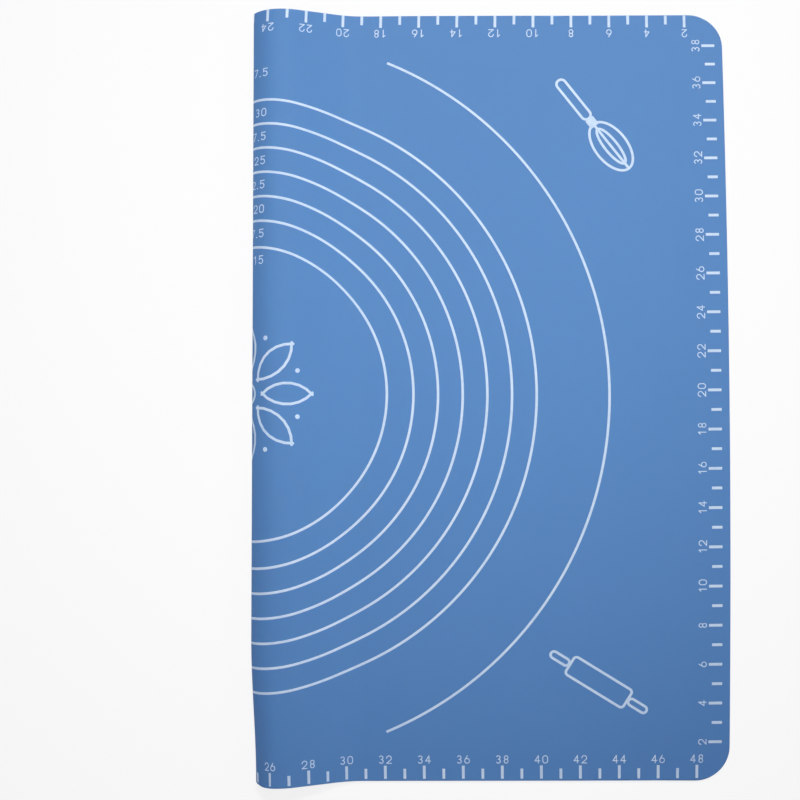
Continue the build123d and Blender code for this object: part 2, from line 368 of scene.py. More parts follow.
@dataclass(frozen=True)
class Profile:
    """The folded sheet's section, as straight runs and arcs one after another.

    It starts at the free edge of the right half and ends at that of the left half. A flat place
    on the sheet is (across, along, height): across counts from the middle of the print towards the
    right, along goes with the bend, and height stands off the middle of the thickness.
    """

    bodies: tuple
    hinges: np.ndarray
    start: np.ndarray
    heading: np.ndarray
    turn: np.ndarray
    length: np.ndarray
    thickness: float
    depth: float
    cut_margin: float = 1.8 * MM

    @classmethod
    def of_frame(cls, frame: dict, bend: Bend = Bend()) -> "Profile":
        """Runs the section from one packed half to the other, and finds the joints on it.

        Args:
            frame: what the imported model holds.
            bend: the arcs between the halves.

        Returns:
            The section.
        """
        low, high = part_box("right_half")
        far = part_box("left_half")[1]
        thickness = high.z - low.z
        turn, length = bend.runs()
        turn = np.concatenate(([0.0], turn, [0.0]))
        length = np.concatenate(([high.x - low.x - thickness / 2], length))
        heading = np.pi + np.concatenate(([0.0], np.cumsum(turn)[:-1]))
        middle = heading[:-1] + turn[:-1] / 2
        chord = length * np.sinc(turn[:-1] / 2 / np.pi)
        steps = chord[:, None] * np.column_stack((np.cos(middle), np.sin(middle)))
        start = np.array((high.x, (low.z + high.z) / 2)) + np.vstack(((0.0, 0.0), np.cumsum(steps, axis=0)))
        length = np.append(length, far.x - start[-1, 0])
        ends = np.cumsum(length)
        bodies, hinges = ["right_half"], []
        for joint in frame["joints"]:
            off = start[1:] - np.array((joint["pos_m"][0], joint["pos_m"][2]))
            hinges.append(ends[np.argmin(np.linalg.norm(off, axis=1))])
            bodies.append(joint["child"])
        hinges = np.array(hinges)
        return cls(tuple(bodies), hinges, start, heading, turn, length, thickness, high.y - low.y)

    @property
    def ends(self) -> np.ndarray:
        """The length at the start of every run, and at the far end of the last."""
        return np.concatenate(([0.0], np.cumsum(self.length)))

    @property
    def half_width(self) -> float:
        """Half the sheet's flat width."""
        return self.ends[-1] / 2

    @property
    def last(self) -> int:
        """The number of the last strip: there is one strip to each joint."""
        return len(self.hinges) - 1

    @property
    def cuts(self) -> np.ndarray:
        """The lengths at which one strip gives over to the next, half way between two joints."""
        return (self.hinges[1:] + self.hinges[:-1]) / 2

    def place(self, flat: np.ndarray) -> np.ndarray:
        """Lays flat places onto the folded sheet.

        On an arc of curvature k, the point at a length q is at the chord q sin(kq/2) / (kq/2),
        in the direction of the heading at half that length.

        Args:
            flat: an array of (across, along, height), in metres.

        Returns:
            The same places as (x, y, z).
        """
        travelled = self.half_width - flat[:, 0]
        run = np.clip(np.searchsorted(self.ends, travelled, "right") - 1, 0, len(self.length) - 1)
        past = travelled - self.ends[run]
        bend = self.turn[run] / self.length[run] * past
        chord = past * np.sinc(bend / 2 / np.pi)
        middle = self.heading[run] + bend / 2
        now = self.heading[run] + bend
        x = self.start[run, 0] + chord * np.cos(middle) + flat[:, 2] * np.sin(now)
        z = self.start[run, 1] + chord * np.sin(middle) - flat[:, 2] * np.cos(now)
        return np.column_stack((x, flat[:, 1], z))

    def window(self, strip: int) -> tuple[float, float]:
        """The lengths between which a strip lies.

        Args:
            strip: the strip's number.

        Returns:
            The length at its first column and at its last.
        """
        first = self.cuts[strip - 1] if strip else 0.0
        return first, self.cuts[strip] if strip < self.last else self.ends[-1]

    def hinge_reach(self, strip: int) -> tuple[np.ndarray, np.ndarray]:
        """The two points between which a strip bends, each side of its hinge and clear of the cut.

        Args:
            strip: the strip's number.

        Returns:
            The points, in the order in which the section runs.
        """
        hinge = self.hinges[strip]
        reach = abs(self.cuts - hinge).min() - self.cut_margin
        flat = np.array([(self.half_width - at, 0.0, 0.0) for at in (hinge - reach, hinge + reach)])
        return tuple(self.place(flat))


def make_object(name: str, vertices: np.ndarray, faces: list, material: bpy.types.Material) -> bpy.types.Object:
    """Puts arrays into a mesh object at the origin.

    Args:
        name: the piece's name.
        vertices: (n, 3) places in metres.
        faces: vertex numbers of each face.
        material: its finish.

    Returns:
        The linked object.
    """
    mesh = bpy.data.meshes.new(name)
    mesh.from_pydata(vertices.tolist(), [], faces)
    return show(name, mesh, material)


def show(name: str, mesh: bpy.types.Mesh, material: bpy.types.Material) -> bpy.types.Object:
    """Links a mesh into the scene as an object at the origin.

    Args:
        name: the piece's name.
        mesh: its finished mesh.
        material: its finish.

    Returns:
        The linked object.
    """
    mesh.materials.append(material)
    mesh.update()
    piece = bpy.data.objects.new(name, mesh)
    bpy.context.scene.collection.objects.link(piece)
    return piece


def move(mesh: bpy.types.Mesh, change: Callable[[np.ndarray], np.ndarray]) -> None:
    """Moves a mesh's vertices, all at once.

    Args:
        mesh: the mesh.
        change: gives the new places for an (n, 3) array of the old ones.
    """
    places = np.empty(len(mesh.vertices) * 3)
    mesh.vertices.foreach_get("co", places)
    mesh.vertices.foreach_set("co", change(places.reshape(-1, 3)).ravel())


@dataclass(frozen=True)
class Drift:
    """How the soft sheet and its print lie off their true places, by stretch and sag in the fold.

    Each term is (power across, power along, shift across, shift along), in millimetres, with both
    places as shares of the reach: together they lay the rings and marks where they are seen to lie.
    The shift fades out on the half underneath. The fold's near corner is curled tighter than the
    rest of the bend: it is drawn inward and upward, and its print slips a little round the bend.
    """

    reach: float = 200.0 * MM
    fade: tuple = (-80.0 * MM, -5.0 * MM)
    outline_fade: tuple = (60.0 * MM, 160.0 * MM)
    corner_in: float = 2.8 * MM
    corner_up: float = 1.3 * MM
    corner_slip: float = 0.7 * MM
    slip_across: tuple = (5.0 * MM, 40.0 * MM)
    corner_across: tuple = (-122.0 * MM, -108.0 * MM)
    corner_along: tuple = (125.0 * MM, 198.0 * MM)
    corner_tip: tuple = (188.0 * MM, 198.0 * MM)
    corner_edge: tuple = (-122.7 * MM, -117.0 * MM)
    terms: tuple = (
        (0, 0, -2.88, -0.52),
        (0, 1, -0.26, 4.67),
        (0, 2, 3.65, -0.14),
        (0, 3, 0.47, -4.95),
        (0, 4, 0.24, -0.18),
        (1, 0, 2.83, 0.49),
        (1, 1, 0.69, -0.17),
        (1, 2, -4.70, 1.79),
        (1, 3, -0.35, 1.45),
        (2, 0, 2.20, -0.75),
        (2, 1, -0.14, -1.98),
        (2, 2, -0.23, -1.21),
        (3, 0, -0.68, -0.29),
        (3, 1, -0.20, 0.50),
        (4, 0, -0.74, 0.66),
    )

    def shift(self, flat: np.ndarray) -> np.ndarray:
        """How far each flat place lies off, across and along.

        Args:
            flat: an array of (across, along, height), in metres.

        Returns:
            (n, 2) shifts in metres.
        """
        over, up, across, along = np.array(self.terms).T
        place = flat[:, None, :2] / self.reach
        share = place[:, :, 0] ** over * place[:, :, 1] ** up
        return share @ np.column_stack((across, along)) * MM * rise(flat[:, 0], *self.fade)[:, None]

    def of_print(self, flat: np.ndarray) -> np.ndarray:
        """Moves printed flat places to where they lie.

        Args:
            flat: an array of (across, along, height), in metres.

        Returns:
            The moved places.
        """
        moved = flat.copy()
        moved[:, :2] += self.shift(flat)
        slip = (1 - rise(flat[:, 0], *self.slip_across)) * rise(-flat[:, 1], *self.corner_along)
        moved[:, 0] -= self.corner_slip * slip
        return moved

    def of_sheet(self, flat: np.ndarray) -> np.ndarray:
        """Moves the sheet's flat places: across only near the free edge, where it shows.

        Args:
            flat: an array of (across, along, height), in metres.

        Returns:
            The moved places.
        """
        moved = flat.copy()
        shift = self.shift(flat)
        moved[:, 0] += shift[:, 0] * rise(flat[:, 0], *self.outline_fade)
        moved[:, 1] += shift[:, 1]
        return moved

    def draw_in(self, places: np.ndarray) -> np.ndarray:
        """Draws in the fold's near corner; its lift falls off from the nose as a square.

        Args:
            places: (x, y, z) on the folded sheet.

        Returns:
            The same places, with those at the corner moved across and along.
        """
        moved = places.copy()
        nose = 1 - rise(places[:, 0], *self.corner_across)
        low, high = self.corner_edge
        edge = np.clip((high - places[:, 0]) / (high - low), 0.0, 1.0) ** 2
        moved[:, 0] += self.corner_in * nose * rise(-places[:, 1], *self.corner_along)
        moved[:, 1] += self.corner_up * edge * rise(-places[:, 1], *self.corner_tip)
        return moved


def rise(value: np.ndarray, low: float, high: float) -> np.ndarray:
    """A smooth step from 0 at the low value to 1 at the high one."""
    share = np.clip((value - low) / (high - low), 0.0, 1.0)
    return share * share * (3.0 - 2.0 * share)


@dataclass
class Sheet:
    """The blue sheet, as two strips that meet unseen in the middle of the bend."""

    profile: Profile
    material: bpy.types.Material
    drift: Drift = Drift()
    corner_radius: float = 17.5 * MM
    edge_radius: float = 0.2 * MM
    edge_steps: int = 3
    corner_steps: int = 20
    flat_step: float = 2.5 * MM
    turn_step: float = 2.0 * DEG
    row_step: float = 5.0 * MM
    edge_row: float = 0.5 * MM
    sharp_angle: float = 35 * DEG
    pieces: list = field(default_factory=list)

    def columns(self, strip: int) -> np.ndarray:
        """The lengths at which a strip has columns: evenly by turn on arcs and by length on flats.

        Args:
            strip: the strip's number.

        Returns:
            The lengths, rising, without those of a round corner.
        """
        first, last = self.profile.window(strip)
        if strip == 0:
            first = self.corner_radius
        if strip == self.profile.last:
            last -= self.corner_radius
        lengths = []
        for run, (low, high) in enumerate(zip(self.profile.ends, self.profile.ends[1:])):
            low, high = max(low, first), min(high, last)
            if low >= high:
                continue
            bend = abs(self.profile.turn[run] / self.profile.length[run]) * (high - low)
            steps = max(2, int(np.ceil(bend / self.turn_step)), int(np.ceil((high - low) / self.flat_step)))
            lengths.append(np.linspace(low, high, steps + 1))
        return np.unique(np.concatenate(lengths).round(FINEST_DIGIT))

    def outline(self, strip: int, inset: float) -> tuple[np.ndarray, np.ndarray]:
        """Where each column lies and how far it reaches along the bend.

        In a round corner the column at angle a is at r - (r - inset) cos a from the free edge, and
        reaches (r - inset) sin a past the corner's centre.

        Args:
            strip: the strip's number.
            inset: how far inside the sheet's outline, in metres.

        Returns:
            The columns' lengths, and their half reach along the bend.
        """
        columns = self.columns(strip)
        half = self.profile.depth / 2
        reach = np.full(columns.shape, half - inset)
        angle = np.linspace(0, np.pi / 2, self.corner_steps + 1)[:-1]
        inward = self.corner_radius - (self.corner_radius - inset) * np.cos(angle)
        along = half - self.corner_radius + (self.corner_radius - inset) * np.sin(angle)
        if strip == 0:
            columns, reach = np.concatenate((inward, columns)), np.concatenate((along, reach))
        if strip == self.profile.last:
            columns = np.concatenate((columns, self.profile.ends[-1] - inward[::-1]))
            reach = np.concatenate((reach, along[::-1]))
        return columns, reach

    def rows(self, reach: np.ndarray) -> np.ndarray:
        """Places along the bend for every column and row, with a close row at each edge.

        Args:
            reach: each column's half reach.

        Returns:
            (columns, rows) places along the bend.
        """
        count = int(round(self.profile.depth / self.row_step))
        inner = (reach - self.edge_row)[:, None] * np.linspace(-1, 1, count + 1)[None, :]
        return np.concatenate((-reach[:, None], inner, reach[:, None]), axis=1)

    def layer(self, strip: int, inset: float, height: float) -> np.ndarray:
        """One surface of the strip as a grid of flat places.

        Args:
            strip: the strip's number.
            inset: how far inside the outline.
            height: how far off the middle of the thickness.

        Returns:
            (columns, rows, 3) flat places.
        """
        lengths, reach = self.outline(strip, inset)
        along = self.rows(reach)
        across = np.broadcast_to(self.profile.half_width - lengths[:, None], along.shape)
        return np.stack((across, along, np.full(along.shape, height)), axis=2)

    def edge_profile(self) -> list[tuple[float, float]]:
        """Inset and height of each step round the edge, a quarter round above and one below.

        At angle a the upper one is r (1 - sin a) inside the outline and r (1 - cos a) under the face.

        Returns:
            The steps, from the printed face to the back.
        """
        angle = np.linspace(0, np.pi / 2, self.edge_steps)
        inset = self.edge_radius * (1 - np.sin(angle))
        height = self.profile.thickness / 2 - self.edge_radius * (1 - np.cos(angle))
        upper = list(zip(inset, height))
        return upper + [(step, -rise) for step, rise in reversed(upper)]

    def build_strip(self, strip: int) -> bpy.types.Object:
        """Makes one strip: printed face, back, and the rounded edge carried round its outline.

        Args:
            strip: the strip's number.

        Returns:
            The strip, blended across its hinge.
        """
        layers = [self.layer(strip, inset, height) for inset, height in self.edge_profile()]
        columns, rows = layers[0].shape[:2]
        grid = np.arange(columns * rows).reshape(columns, rows)
        rim = np.concatenate((grid[:, 0], grid[-1, 1:], grid[-2::-1, -1], grid[0, -2:0:-1]))
        loops = [rim]
        places = [layers[0].reshape(-1, 3)]
        for edge in layers[1:-1]:
            loops.append(np.arange(len(rim)) + sum(map(len, places)))
            places.append(edge.reshape(-1, 3)[rim])
        back = grid + sum(map(len, places))
        loops.append(back.ravel()[rim])
        places.append(layers[-1].reshape(-1, 3))
        faces = [quads(grid), quads(back)[:, ::-1]]
        for upper, lower in zip(loops, loops[1:]):
            ahead = np.roll(upper, -1), np.roll(lower, -1)
            faces.append(np.column_stack((upper, ahead[0], ahead[1], lower)))
        folded = self.profile.place(self.drift.of_sheet(np.concatenate(places)))
        faces = np.concatenate(faces).tolist()
        piece = make_object(strip_name("sheet", strip), self.drift.draw_in(folded), faces, self.material)
        smooth(piece, self.sharp_angle)
        return piece

    def dress(self, frame: dict) -> list:
        """Makes every strip and ties it to the two bodies that it joins.

        Args:
            frame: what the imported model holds.

        Returns:
            The strips in order.
        """
        for strip in range(self.profile.last + 1):
            piece = self.build_strip(strip)
            first, second = self.profile.bodies[strip : strip + 2]
            start, end = self.profile.hinge_reach(strip)
            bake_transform(piece, first, second, start=tuple(start), end=tuple(end))
            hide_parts(*stood_for(frame, self.profile, strip, is_sheet))
            self.pieces.append(piece)
            log.info("%s bends from %s to %s", piece.name, first, second)
        return self.pieces

    def flat_area(self, strip: int) -> float:
        """A half's flat area, without what its two round corners leave off."""
        first, last = self.profile.window(strip)
        return (last - first) * self.profile.depth - (2 - np.pi / 2) * self.corner_radius**2


def quads(grid: np.ndarray) -> np.ndarray:
    """The four-sided faces of a grid of vertex numbers, upward for columns that run to the left."""
    corners = grid[:-1, :-1], grid[:-1, 1:], grid[1:, 1:], grid[1:, :-1]
    return np.stack(corners, axis=2).reshape(-1, 4)


def strip_name(kind: str, strip: int) -> str:
    """A strip's name: the right half with the bend's upper side first, then the left half."""
    return f"{kind}_{'left' if strip else 'right'}_half"


def is_sheet(node: str) -> bool:
    """Tells the sheet's own nodes, which are halves and bands, from those of its print."""
    return node.endswith("_half") or "_band" in node and not node.endswith("_print")


def stood_for(frame: dict, profile: Profile, strip: int, wanted: Callable[[str], bool]) -> list:
    """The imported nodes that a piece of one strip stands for.

    Args:
        frame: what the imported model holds.
        profile: the section.
        strip: the strip's number. The last strip takes its second body's nodes too.
        wanted: tells by a node's name whether it is the kind of node meant.

    Returns:
        Their names.
    """
    bodies = profile.bodies[strip : strip + (2 if strip == profile.last else 1)]
    grouped = frame["record"]["behaviour"]["bodies"]
    return [node for body in bodies for node in grouped[body] if wanted(node)]


def smooth(piece: bpy.types.Object, angle: float) -> None:
    """Shades a piece smooth, but for its sharp edges.

    Args:
        piece: the piece.
        angle: the least angle of a sharp edge, in radians.
    """
    mesh = piece.data
    mesh.polygons.foreach_set("use_smooth", np.ones(len(mesh.polygons), bool))
    mesh.set_sharp_from_angle(angle=angle)
    mesh.update()


@dataclass(frozen=True)
class Stroke:
    """One line of ink on the flat sheet: its middle line, width and ends."""

    path: np.ndarray
    width: float
    ends: Ends

    def turned(self, angle: float, shift: tuple = (0.0, 0.0)) -> "Stroke":
        """The stroke turned about the middle and then shifted.

        Args:
            angle: in radians, anticlockwise.
            shift: across and along.

        Returns:
            The moved stroke.
        """
        turn = np.array([[np.cos(angle), np.sin(angle)], [-np.sin(angle), np.cos(angle)]])
        return Stroke(self.path @ turn + np.array(shift), self.width, self.ends)


def line(first: tuple, last: tuple, width: float, ends: Ends = Ends.ROUND) -> Stroke:
    """A straight stroke between two flat places."""
    return Stroke(np.array([first, last], float), width, ends)


def arc(
    centre: tuple,
    radius: float,
    first: float,
    sweep: float,
    width: float,
    step: float = 15 * DEG,
    ends: Ends = Ends.ROUND,
) -> Stroke:
    """A stroke along an arc.

    Args:
        centre: the arc's centre.
        radius: its radius.
        first: its first angle, in radians.
        sweep: how far it goes.
        width: the line's width.
        step: the most that one of its chords turns.
        ends: how it ends.

    Returns:
        The stroke.
    """
    angle = first + np.linspace(0, sweep, max(2, int(np.ceil(abs(sweep) / step)) + 1))
    points = np.column_stack((np.cos(angle), np.sin(angle))) * radius + np.array(centre)
    return Stroke(points, width, ends)


def oval(centre: tuple, reach: tuple, width: float, steps: int) -> Stroke:
    """A closed stroke round an oval: the point at angle a is (p cos a, q sin a).

    Args:
        centre: the oval's centre.
        reach: half its length and half its width, over the stroke's outer side.
        width: the line's width.
        steps: how many points it has.

    Returns:
        The stroke.
    """
    angle = np.linspace(0, 2 * np.pi, steps, endpoint=False)
    inside = np.array(reach) - width / 2
    points = np.column_stack((np.cos(angle), np.sin(angle))) * inside + np.array(centre)
    return Stroke(points, width, Ends.LOOP)


def slot(
    centre: tuple, size: tuple, line_width: float, rounding: float | None = None, steps: int = 9
) -> Stroke:
    """A closed stroke round a bar with round corners: four quarter arcs, joined by straights.

    Args:
        centre: the bar's middle.
        size: its length across and its width along, over all.
        line_width: the line's width.
        rounding: the corners' radius, or none for half round ends.
        steps: how many points a quarter arc has.

    Returns:
        The stroke.
    """
    radius = (size[1] / 2 if rounding is None else rounding) - line_width / 2
    straight = np.array(size) / 2 - line_width / 2 - radius
    sides = np.array(((1, 1), (-1, 1), (-1, -1), (1, -1)))
    angle = (np.arange(4) * np.pi / 2)[:, None] + np.linspace(0, np.pi / 2, steps)
    arcs = radius * np.stack((np.cos(angle), np.sin(angle)), axis=2)
    points = (arcs + (sides * straight)[:, None]).reshape(-1, 2) + np.array(centre)
    apart = np.linalg.norm(points - np.roll(points, 1, axis=0), axis=1) > LEAST_CHORD
    return Stroke(points[apart], line_width, Ends.LOOP)


@dataclass(frozen=True)
class InkBody:
    """Gives strokes their thickness: a low ribbon with sloping sides, sunk a little into the sheet."""

    surface: float
    proud: float = 0.035 * MM
    sunk: float = 0.04 * MM
    lift: float = 0.003 * MM
    side_slope: float = 0.06 * MM
    most_slope: float = 0.5
    cap_angles: tuple = (30 * DEG, 60 * DEG, 84 * DEG)

    def ribbon(self, stroke: Stroke, layer: int) -> tuple[np.ndarray, np.ndarray]:
        """Carries a four-cornered section along a stroke.

        At a round end the section goes on past the end by (w/2) sin a and narrows to (w/2) cos a.

        Args:
            stroke: the line of ink.
            layer: how many strokes it may lie over, each of which lifts it a little.

        Returns:
            Its vertices as flat places, and its four-sided faces.
        """
        path, half = stroke.path, np.full(len(stroke.path), stroke.width / 2)
        closed = stroke.ends is Ends.LOOP
        if closed:
            ahead = np.roll(path, -1, axis=0) - np.roll(path, 1, axis=0)
        else:
            ahead = np.gradient(path, axis=0)
        ahead /= np.linalg.norm(ahead, axis=1)[:, None]
        if stroke.ends is Ends.ROUND:
            angles = np.array(self.cap_angles)
            out, narrow = stroke.width / 2 * np.sin(angles), stroke.width / 2 * np.cos(angles)
            before = path[0] - ahead[0] * out[::-1, None]
            after = path[-1] + ahead[-1] * out[:, None]
            path = np.concatenate((before, path, after))
            half = np.concatenate((narrow[::-1], half, narrow))
            caps = len(angles)
            ahead = np.concatenate((np.tile(ahead[0], (caps, 1)), ahead, np.tile(ahead[-1], (caps, 1))))
        aside = np.column_stack((ahead[:, 1], -ahead[:, 0]))
        top = np.minimum(self.side_slope, half * self.most_slope)
        spans = np.stack((-half, half, half - top, top - half), axis=1)
        high = self.surface + self.proud + self.lift * layer
        heights = np.array((self.surface - self.sunk, self.surface - self.sunk, high, high))
        across = path[:, None, :] + aside[:, None, :] * spans[:, :, None]
        raised = np.broadcast_to(heights[None, :, None], (len(path), 4, 1))
        places = np.concatenate((across, raised), axis=2)
        grid = np.arange(len(path) * 4).reshape(-1, 4)
        following = np.roll(grid, -1, axis=0) if closed else grid[1:]
        current = grid if closed else grid[:-1]
        beside = np.roll(current, -1, axis=1), np.roll(following, -1, axis=1)
        sides = np.stack((current, following, beside[1], beside[0]), axis=2).reshape(-1, 4)
        ends = [] if closed else [grid[:1], grid[-1:, ::-1]]
        return places.reshape(-1, 3), np.concatenate([sides, *ends])

    def mesh(self, strokes: list) -> bpy.types.Mesh:
        """One flat mesh of many strokes.

        Args:
            strokes: lists of strokes, each list lying over itself in its own order.

        Returns:
            The mesh, in flat places.
        """
        places, faces, count = [], [], 0
        for drawing in strokes:
            for layer, stroke in enumerate(drawing):
                vertices, sides = self.ribbon(stroke, layer)
                places.append(vertices)
                faces.append(sides + count)
                count += len(vertices)
        mesh = bpy.data.meshes.new("flat_print")
        mesh.from_pydata(np.concatenate(places).tolist(), [], np.concatenate(faces).tolist())
        return mesh


@dataclass(frozen=True)
class Numerals:
    """Plain printed numerals, drawn as round-ended strokes and standing on their base line.

    Shares are of a bowl or of the height, and angles are in degrees from the right.
    """

    height: float = 4.4 * MM
    width: float = 3.0 * MM
    stroke: float = 0.55 * MM
    pitch: float = 4.0 * MM
    point_pitch: float = 1.8 * MM
    upper_bowl_share: float = 0.24
    stem_share: float = 0.4
    flag_share: float = 0.75
    bar_share: float = 0.3
    point_share: float = 1.3
    two_hook: float = 35.0
    three_open: float = 30.0
    five_start: float = 135.0
    five_end: float = 145.0
    six_start: float = 150.0
    six_lean: float = 60.0

    def signs(self) -> dict:
        """Every numeral and the point, each as a list of strokes.

        Returns:
            Sign to strokes.
        """
        line_width = self.stroke
        base, top = line_width / 2, self.height - line_width / 2
        bowl, tall = (self.width - line_width) / 2, self.height - line_width
        upper = tall * self.upper_bowl_share
        lower = tall / 2 - upper
        stem, bar = bowl * self.stem_share, base + tall * self.bar_share
        low_bowl, high_bowl = (0.0, base + bowl), (0.0, top - bowl)

        def on(centre: tuple, degrees: float) -> tuple:
            """The point of a bowl at an angle."""
            return centre[0] + bowl * np.cos(degrees * DEG), centre[1] + bowl * np.sin(degrees * DEG)

        def bow(centre: tuple, radius: float, first: float, sweep: float) -> Stroke:
            """An arc of the numeral's line, with its angles in degrees."""
            return arc(centre, radius, first * DEG, sweep * DEG, line_width)

        def bar_to(first: tuple, last: tuple) -> Stroke:
            """A straight piece of the numeral's line."""
            return line(first, last, line_width)

        two_end, five_end = on(high_bowl, -self.two_hook), on(low_bowl, self.five_start)
        six_start, three_sweep = on(low_bowl, self.six_start), 270 - self.three_open
        six_end = (six_start[0] + (top - six_start[1]) / np.tan(self.six_lean * DEG), top)
        six = [bow(low_bowl, bowl, 0, 360), bar_to(six_start, six_end)]
        return {
            "0": [
                bow(high_bowl, bowl, 0, 180),
                bow(low_bowl, bowl, 180, 180),
                bar_to((-bowl, low_bowl[1]), (-bowl, high_bowl[1])),
                bar_to((bowl, low_bowl[1]), (bowl, high_bowl[1])),
            ],
            "1": [
                bar_to((stem, base), (stem, top)),
                bar_to((stem, top), (-stem, top - bowl * self.flag_share)),
            ],
            "2": [
                bow(high_bowl, bowl, -self.two_hook, 180 + self.two_hook),
                bar_to(two_end, (-bowl, base)),
                bar_to((-bowl, base), (bowl, base)),
            ],
            "3": [
                bow((0, top - upper), upper, -90, three_sweep),
                bow((0, base + lower), lower, 90 - three_sweep, three_sweep),
            ],
            "4": [
                bar_to((stem, base), (stem, top)),
                bar_to((stem, top), (-bowl, bar)),
                bar_to((-bowl, bar), (bowl, bar)),
            ],
            "5": [
                bar_to((bowl, top), (five_end[0], top)),
                bar_to((five_end[0], top), five_end),
                bow(low_bowl, bowl, -self.five_end, self.five_start + self.five_end),
            ],
            "6": six,
            "7": [bar_to((-bowl, top), (bowl, top)), bar_to((bowl, top), (-stem, base))],
            "8": [bow((0, top - upper), upper, 0, 360), bow((0, base + lower), lower, 0, 360)],
            "9": [stroke.turned(np.pi, (0.0, self.height)) for stroke in six],
            ".": [line((-base / 4, base), (base / 4, base), line_width * self.point_share)],
        }

    def number(self, text: str, signs: dict) -> list:
        """A number, centred across.

        Args:
            text: its signs.
            signs: the drawn numerals.

        Returns:
            One list of strokes per sign.
        """
        pitches = [self.point_pitch if sign == "." else self.pitch for sign in text]
        places = np.cumsum(pitches) - np.array(pitches) / 2 - sum(pitches) / 2
        return [
            [stroke.turned(0.0, (place, 0.0)) for stroke in signs[sign]] for sign, place in zip(text, places)
        ]


@dataclass(frozen=True)
class EdgeScale:
    """The centimetre scale along one edge: a mark each centimetre, longer and numbered each second."""

    length: float
    last_mark: int
    inset: float
    away: float
    quarter: int
    step: float = 10.0 * MM
    first_mark: int = 2
    mark_width: float = 1.5 * MM
    long_mark: float = 6.9 * MM
    short_mark: float = 5.3 * MM
    gap: float = 1.0 * MM

    def draw(self, numerals: Numerals, signs: dict) -> list:
        """Draws the scale from its own corner.

        Args:
            numerals: how numbers are set.
            signs: the drawn numerals.

        Returns:
            Lists of strokes on the flat sheet.
        """
        drawn = []
        for mark in range(self.first_mark, self.last_mark + 1):
            place = mark * self.step - self.length / 2
            numbered = mark % 2 == 0
            tall = self.long_mark if numbered else self.short_mark
            low = max(self.inset, 0.0)
            drawn.append([line((place, low), (place, self.inset + tall), self.mark_width, Ends.SQUARE)])
            if numbered:
                base = self.inset + self.long_mark + self.gap
                for sign in numerals.number(str(mark), signs):
                    drawn.append([stroke.turned(0.0, (place, base)) for stroke in sign])
        angle = self.quarter * np.pi / 2
        shift = (self.away * np.sin(angle), -self.away * np.cos(angle))
        return [[stroke.turned(angle, shift) for stroke in drawing] for drawing in drawn]


@dataclass(frozen=True)
class Rosette:
    """Petals round a hub, with a dot between each two.

    A petal is the overlap of two equal circles, so each of its sides is an arc.
    """

    line_width: float = 1.4 * MM
    petals: int = 8
    inner: float = 9.0 * MM
    outer: float = 36.0 * MM
    half_petal: float = 6.0 * MM
    hub_radius: float = 5.0 * MM
    hub_steps: int = 48
    dot_place: float = 30.0 * MM
    dot_length: float = 0.05 * MM
    dot_width: float = 2.4 * MM

    def draw(self) -> list:
        """Draws it about the middle.

        Returns:
            Lists of strokes.
        """
        half = (self.outer - self.inner) / 2
        bow = (half**2 + self.half_petal**2) / (2 * self.half_petal)
        spread, radius = np.arcsin(half / bow), bow - self.line_width / 2
        middle, up = (self.outer + self.inner) / 2, bow - self.half_petal
        upper = arc((middle, -up), radius, np.pi / 2 - spread, 2 * spread, self.line_width)
        lower = arc((middle, up), radius, -np.pi / 2 - spread, 2 * spread, self.line_width)
        dot = line((self.dot_place, 0), (self.dot_place + self.dot_length, 0), self.dot_width)
        step = 2 * np.pi / self.petals
        drawn = []
        for petal in range(self.petals):
            angle = petal * step
            drawn.append([upper.turned(angle), lower.turned(angle)])
            drawn.append([dot.turned(angle + step / 2)])
        reach = self.hub_radius + self.line_width / 2
        return drawn + [[oval((0, 0), (reach, reach), self.line_width, self.hub_steps)]]


@dataclass(frozen=True)
class Whisk:
    """A balloon whisk in outline, about the middle of its loops."""

    line_width: float = 1.4 * MM
    outer_loop: tuple = (15.5 * MM, 9.0 * MM)
    outer_steps: int = 64
    inner_loop: tuple = (12.0 * MM, 4.0 * MM)
    inner_steps: int = 48
    wire_end: float = 14.1 * MM
    collar: tuple = (-18.4 * MM, -13.4 * MM)
    collar_width: float = 5.0 * MM
    handle: tuple = (27.0 * MM, 6.4 * MM)
    handle_end: float = -17.9 * MM

    def draw(self) -> list:
        """Draws it.

        Returns:
            Its strokes, from the lowest to the highest.
        """
        middle = self.handle_end - self.handle[0] / 2
        return [
            oval((0, 0), self.outer_loop, self.line_width, self.outer_steps),
            oval((0, 0), self.inner_loop, self.line_width, self.inner_steps),
            line((-self.outer_loop[0], 0), (self.wire_end, 0), self.line_width),
            line((self.collar[0], 0), (self.collar[1], 0), self.collar_width, Ends.SQUARE),
            slot((middle, 0), self.handle, self.line_width),
        ]


@dataclass(frozen=True)
class RollingPin:
    """A rolling pin in outline, about its middle."""

    line_width: float = 1.4 * MM
    roller: tuple = (36.0 * MM, 12.0 * MM)
    roller_rounding: float = 2.5 * MM
    grip: tuple = (12.0 * MM, 5.0 * MM)
    grip_place: float = 23.3 * MM

    def draw(self) -> list:
        """Draws it.

        Returns:
            Its strokes, from the lowest to the highest.
        """
        return [
            slot((0, 0), self.roller, self.line_width, self.roller_rounding),
            slot((self.grip_place, 0), self.grip, self.line_width),
            slot((-self.grip_place, 0), self.grip, self.line_width),
        ]


